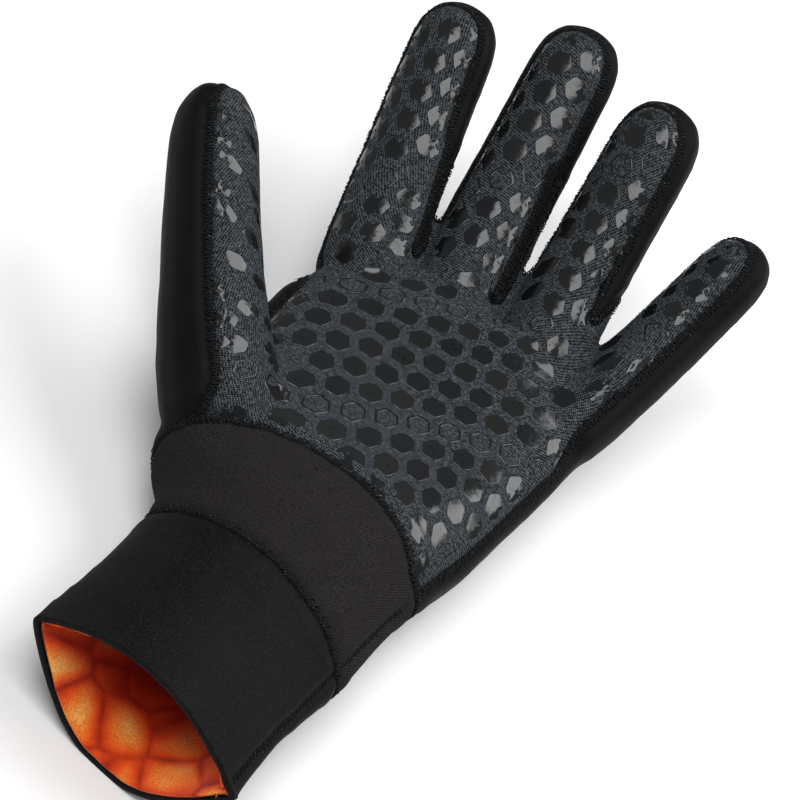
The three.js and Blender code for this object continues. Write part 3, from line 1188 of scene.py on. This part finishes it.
def knit_group():
    """Rows of V-shaped loops. Puts out how high the yarn is, from 0 to 1."""
    group, inputs, axes, end = height_group("knit_loops", Loop_Width=1.0, Loop_Height=1.0)
    wale = math_node(group, "FRACT", math_node(group, "DIVIDE", axes["X"], inputs["Loop Width"]))
    slant = math_node(group, "ABSOLUTE", math_node(group, "SUBTRACT", wale, 0.5))
    course = math_node(group, "DIVIDE", axes["Y"], inputs["Loop Height"])
    turn = math_node(group, "MULTIPLY", math_node(group, "ADD", course, slant), math.tau)
    leg = math_node(group, "SINE", math_node(group, "MULTIPLY", slant, math.tau))
    group.links.new(math_node(group, "MULTIPLY", wave(group, turn), leg), end.inputs["Height"])
    return group


def twill_group():
    """Slanted ribs round a sleeve along Y. Puts out their height, from 0 to 1."""
    group, inputs, axes, end = height_group(
        "twill", Middle_X=0.0, Middle_Z=0.0, Ribs_Around=100.0, Rib_Step=0.001
    )
    across = math_node(group, "SUBTRACT", axes["X"], inputs["Middle X"])
    rise = math_node(group, "SUBTRACT", axes["Z"], inputs["Middle Z"])
    turn = math_node(group, "ARCTAN2", rise, across)
    around = math_node(group, "MULTIPLY", turn, inputs["Ribs Around"])
    along = math_node(group, "DIVIDE", axes["Y"], inputs["Rib Step"])
    along = math_node(group, "MULTIPLY", along, math.tau)
    group.links.new(wave(group, math_node(group, "ADD", around, along)), end.inputs["Height"])
    return group


KNIT = knit_group()
TWILL = twill_group()


def placed(tree, group, where, **values):
    """A node group in a material, with its own values. Gives back its Height."""
    made = tree.nodes.new("ShaderNodeGroup")
    made.node_tree = group
    tree.links.new(where, made.inputs["Place"])
    for name, value in values.items():
        made.inputs[name.replace("_", " ")].default_value = value
    return made.outputs["Height"]


print("cloth groups:", KNIT.name, TWILL.name)

# %% [markdown]
# ## Smooth black foam rubber
#
# The back of the hand is smooth black foam rubber, and the cuff's foam is faced with a fine black
# jersey. Both are nearly black with lighter flecks. The jersey's loops could be drawn like those of
# the grip's knit, but they are finer than a pixel here, so noise stands for them. One function
# makes both finishes, with lighter flecks and a stronger relief on the jersey.

# %% Black foam and black jersey
FOAM_BLACKS = ((0.0012, 0.0012, 0.0013, 1), (0.0032, 0.0032, 0.0033, 1))
FOAM_GRAIN = 0.4 * MM
FOAM_CLOUD = 14 * MM
FOAM_CLOUD_RANGE = (0.3, 0.8)
FLECK_RANGE = (0.52, 0.75)
FLECK_BLUE = 1.03
FOAM_ROUGH_RANGE = (-1.2, 1.4)
FOAM_BUMP = 0.6


def smooth_foam_material(name, flecks, relief):
    """Nearly black, with fine flecks of the given lightness, a faint cloud and a fine relief."""
    made, tree, shader = plain_material(name, roughness=0.6, specular=0.1)
    where = place(tree)
    grain = noise_value(tree, where, FOAM_GRAIN, detail=3, roughness=0.6)
    cloud = noise_value(tree, where, FOAM_CLOUD, detail=3)
    colour = blend_colours(tree, spread(tree, cloud, *FOAM_CLOUD_RANGE), *FOAM_BLACKS)
    fleck_colour = (flecks, flecks, flecks * FLECK_BLUE, 1)
    colour = blend_colours(tree, spread(tree, grain, *FLECK_RANGE), colour, fleck_colour)
    tree.links.new(spread(tree, grain, *FOAM_ROUGH_RANGE), shader.inputs["Roughness"])
    dress(tree, shader, colour, bump(tree, grain, relief, FOAM_BUMP))
    return made


finish(hand_back, smooth_foam_material("smooth_foam", flecks=0.007, relief=0.1 * MM))
finish(cuff, smooth_foam_material("cuff_jersey", flecks=0.022, relief=0.16 * MM))

# %% [markdown]
# ## Charcoal cloth of the wrist panel
#
# A fine brownish charcoal cloth with slanted ribs covers the wrist. Ribs drawn as flat waves in
# space turn into rings where the surface faces along the waves. So the ribs are counted by the
# angle round the wrist, a whole number of them, and noise breaks them up as wear does.

# %% Twill round the wrist
WRIST_MIDDLE_X = 3 * MM
WRIST_MIDDLE_Z = 23 * MM
RIBS_AROUND = 300
RIB_STEP = 1.4 * MM
RIB_BASE = 0.9
TWILL_GRAIN = 0.55 * MM
TWILL_CLOUD = 20 * MM
TWILL_DARK = (0.003, 0.0025, 0.0026, 1)
TWILL_LIGHT = (0.044, 0.04, 0.041, 1)
TWILL_FADED = (0.014, 0.0125, 0.0128, 1)
TWILL_GRAIN_RANGE = (0.15, 0.85)
TWILL_HEIGHT_RANGE = (0.2, 1.6)
TWILL_CLOUD_RANGE = (0.3, 1.1)


def wrist_cloth_material():
    """Fine brownish charcoal twill."""
    made, tree, shader = plain_material("wrist_cloth", roughness=0.9, specular=0.05)
    where = place(tree)
    grain = noise_value(tree, where, TWILL_GRAIN, detail=2, roughness=0.7)
    grain = spread(tree, grain, *TWILL_GRAIN_RANGE)
    cloud = noise_value(tree, where, TWILL_CLOUD, detail=3)
    middle = {"Middle_X": WRIST_MIDDLE_X, "Middle_Z": WRIST_MIDDLE_Z}
    ribs = placed(tree, TWILL, where, **middle, Ribs_Around=RIBS_AROUND, Rib_Step=RIB_STEP)
    height = math_node(tree, "MULTIPLY", math_node(tree, "ADD", ribs, RIB_BASE), grain)
    colour = blend_colours(tree, spread(tree, height, *TWILL_HEIGHT_RANGE), TWILL_DARK, TWILL_LIGHT)
    colour = blend_colours(tree, spread(tree, cloud, *TWILL_CLOUD_RANGE), colour, TWILL_FADED)
    dress(tree, shader, colour, bump(tree, height, distance=0.18 * MM, strength=0.7))
    return made


finish(wrist, wrist_cloth_material())

# %% [markdown]
# ## Grey-blue knit of the grip panel
#
# The knit is a heather: dark and light fibres are spun together, and its loops lie in rows. The
# loops could be modelled, but there are tens of thousands of them, so the knit's node group gives
# their height. It reads the flat map, because the rows bend with the cloth, and noise makes the
# heather's speckle.

# %% Heather knit
LOOP_WIDTH = 1.1 * MM
LOOP_HEIGHT = 0.85 * MM
LOOP_SHARE = 0.8
KNIT_GRAIN = 0.85 * MM
KNIT_CLOUD = 22 * MM
KNIT_DARK = (0.003, 0.004, 0.005, 1)
KNIT_LIGHT = (0.13, 0.149, 0.165, 1)
KNIT_FADED = (0.02, 0.022, 0.026, 1)
KNIT_GRAIN_RANGE = (0.25, 0.75)
KNIT_HEIGHT_RANGE = (0.5, 1.6)
KNIT_CLOUD_RANGE = (0.5, 2.4)


def grip_knit_material():
    """Dark heather knit: its loops follow the flat map, with lighter fibres in places."""
    made, tree, shader = plain_material("grip_knit", roughness=0.85, specular=0.06)
    where = place(tree)
    cloth = tree.nodes.new("ShaderNodeUVMap")
    cloth.uv_map = "flat"
    grain = noise_value(tree, where, KNIT_GRAIN, detail=2, roughness=0.7)
    grain = spread(tree, grain, *KNIT_GRAIN_RANGE)
    cloud = noise_value(tree, where, KNIT_CLOUD, detail=3)
    loops = placed(tree, KNIT, cloth.outputs["UV"], Loop_Width=LOOP_WIDTH, Loop_Height=LOOP_HEIGHT)
    height = math_node(tree, "ADD", math_node(tree, "MULTIPLY", loops, LOOP_SHARE), grain)
    colour = blend_colours(tree, spread(tree, height, *KNIT_HEIGHT_RANGE), KNIT_DARK, KNIT_LIGHT)
    colour = blend_colours(tree, spread(tree, cloud, *KNIT_CLOUD_RANGE), colour, KNIT_FADED)
    dress(tree, shader, colour, bump(tree, height, distance=0.22 * MM, strength=0.8))
    return made


finish(palm, grip_knit_material())

# %% [markdown]
# ## Orange plush
#
# Inside the glove is a short orange plush, printed with warm cells that have dark red borders. Hair
# strands could show its pile, but it is finer than a pixel here, so noise stands for it. The colours
# come from the cell layer that also raised the cushions, and a painted shade darkens them to dark red
# further inside the glove.

# %% Plush with cells
PLUSH_TINTS = (
    (0.0, (0.36, 0.012, 0.002)),
    (0.3, (0.85, 0.09, 0.008)),
    (0.6, (0.95, 0.25, 0.03)),
    (1.0, (0.98, 0.52, 0.12)),
)
PILE_COLOUR = (0.5, 0.05, 0.01, 1)
PILE_RANGE = (0.42, 0.9)
# Painted shade: the dark red that the plush turns to further inside the glove, over this range of Y.
PAINTED_SHADE_COLOUR = (0.3, 0.008, 0.003, 1)
PAINTED_SHADE_RANGE = (-62 * MM, -30 * MM)
CELL_BLUR = 0.5
CELL_BLUR_SIZE = 9 * MM
PILE_SIZE = 0.6 * MM


def plush_material():
    """Short plush with soft yellow-orange cells and red borders, and painted shade further inside the
    glove.
    """
    made, tree, shader = plain_material("lining_plush", roughness=0.9, sheen=0.2, specular=0.1)
    where = place(tree)
    pile = noise_value(tree, where, PILE_SIZE, detail=3)
    cloud = noise_value(tree, where, CELL_BLUR_SIZE, detail=2)
    blur = math_node(tree, "MULTIPLY", math_node(tree, "SUBTRACT", cloud, 0.5), CELL_BLUR)
    cells = ramp_of(tree, math_node(tree, "ADD", layer_value(tree, "cell"), blur), PLUSH_TINTS)
    colour = blend_colours(tree, spread(tree, pile, *PILE_RANGE), cells, PILE_COLOUR)
    # Painted shade: the colour darkens to dark red further inside the glove, along the object's Y.
    axes = add_node(tree, "ShaderNodeSeparateXYZ", {"Vector": where})
    painted_shade = spread(tree, axes.outputs["Y"], *PAINTED_SHADE_RANGE)
    colour = blend_colours(tree, painted_shade, colour, PAINTED_SHADE_COLOUR)
    dress(tree, shader, colour, bump(tree, pile, distance=0.4 * MM, strength=0.7))
    return made


finish(lining, plush_material())

# %% [markdown]
# ## Glossy rubber of the print
#
# The hexagons are black rubber with a soft shine, and no two of them look quite the same. One flat
# black would make them look cut from one sheet. So each hexagon's own random value, kept on its
# vertices, picks its tint from a ramp, and noise makes scuffs in the shine and the relief.

# %% Tinted and scuffed rubber
PRINT_TINTS = (
    (0.0, (0.003, 0.004, 0.008)),
    (0.4, (0.003, 0.006, 0.005)),
    (0.75, (0.008, 0.0075, 0.008)),
    (1.0, (0.002, 0.003, 0.005)),
)
SCUFF_SIZE = 1.6 * MM
SCUFF_ROUGH_RANGE = (0.2, 2.4)


def grip_print_material():
    """Black rubber print, each hexagon with a slightly different tint, scuffed in places."""
    made, tree, shader = plain_material("grip_print", roughness=0.25, specular=0.45)
    scuffs = noise_value(tree, place(tree), SCUFF_SIZE, detail=4, roughness=0.7)
    tree.links.new(spread(tree, scuffs, *SCUFF_ROUGH_RANGE), shader.inputs["Roughness"])
    colour = ramp_of(tree, layer_value(tree, "tint"), PRINT_TINTS)
    dress(tree, shader, colour, bump(tree, scuffs, distance=0.05 * MM, strength=0.4))
    return made


finish(grip_print, grip_print_material())

# %% [markdown]
# ## Matt black thread
#
# The overlocked thread is spun and hairy, with a few pale fibres of the cloth caught in it. Its
# turns round the seam are modelled, so its finish only has to add what is finer than the thread:
# hairs, and rarer pale flecks, both from noise.

# %% Hairy black thread
THREAD_BLACKS = ((0.004, 0.004, 0.0045, 1), (0.02, 0.021, 0.022, 1))
HAIR_SIZE = 0.3 * MM
HAIR_RANGE = (0.4, 0.75)
PALE_FLECK = (0.11, 0.11, 0.1, 1)
PALE_FLECK_SIZE = 0.9 * MM
PALE_FLECK_RANGE = (0.66, 0.74)


def seam_thread_material():
    """Hairy black thread with a few lighter fibres."""
    made, tree, shader = plain_material("seam_thread", roughness=0.8, specular=0.15)
    where = place(tree)
    hairs = noise_value(tree, where, HAIR_SIZE, detail=3, roughness=0.7)
    flecks = noise_value(tree, where, PALE_FLECK_SIZE, detail=2)
    colour = blend_colours(tree, spread(tree, hairs, *HAIR_RANGE), *THREAD_BLACKS)
    colour = blend_colours(tree, spread(tree, flecks, *PALE_FLECK_RANGE), colour, PALE_FLECK)
    dress(tree, shader, colour, bump(tree, hairs, distance=0.1 * MM, strength=0.8))
    return made


thread_finish = seam_thread_material()
for piece in (grip_thread, cuff_thread, seam_fibres):
    finish(piece, thread_finish)

# %% [markdown]
# ## Floor and light
#
# The photograph was cut out and put on white, so the floor is pale and the light is soft and even.
# A bright sky alone would leave the foam flat and the print dull. Two soft boxes are added: one
# above lights the palm, and one beyond the little finger gives the hexagons their shine.

# %% Lay the floor and set the lamps
FLOOR_HALF = 3
FLOOR_COLOUR = (0.9, 0.9, 0.9, 1)
LAMP_DISTANCE = 1.4
WORLD_COLOUR = (1, 1, 1, 1)
WORLD_STRENGTH = 0.3

floor_mesh = bmesh.new()
bmesh.ops.create_grid(floor_mesh, x_segments=1, y_segments=1, size=FLOOR_HALF)
floor = as_object(floor_mesh, "floor")
floor_material, _, floor_shader = plain_material("pale_floor", roughness=0.9)
floor_shader.inputs["Base Color"].default_value = FLOOR_COLOUR
finish(floor, floor_material)


def lamp(name, azimuth, elevation, size, power):
    """A square soft box that shines at the glove."""
    towards = way_from_target(azimuth, elevation)
    data = bpy.data.lights.new(name, "AREA")
    data.size = size
    data.energy = power
    made = bpy.data.objects.new(name, data)
    made.location = TARGET + towards * LAMP_DISTANCE
    made.rotation_mode = "QUATERNION"
    made.rotation_quaternion = looking_back(towards)
    bpy.context.scene.collection.objects.link(made)
    print("lamp", name, "of", power, "W")


lamp("top", azimuth=-20, elevation=75, size=0.9, power=14)
lamp("side", azimuth=128, elevation=47, size=1.0, power=16)
world = bpy.data.worlds.new("studio")
world.use_nodes = True
background = world.node_tree.nodes["Background"]
background.inputs["Color"].default_value = WORLD_COLOUR
background.inputs["Strength"].default_value = WORLD_STRENGTH
bpy.context.scene.world = world
bpy.context.scene.view_settings.view_transform = "Standard"
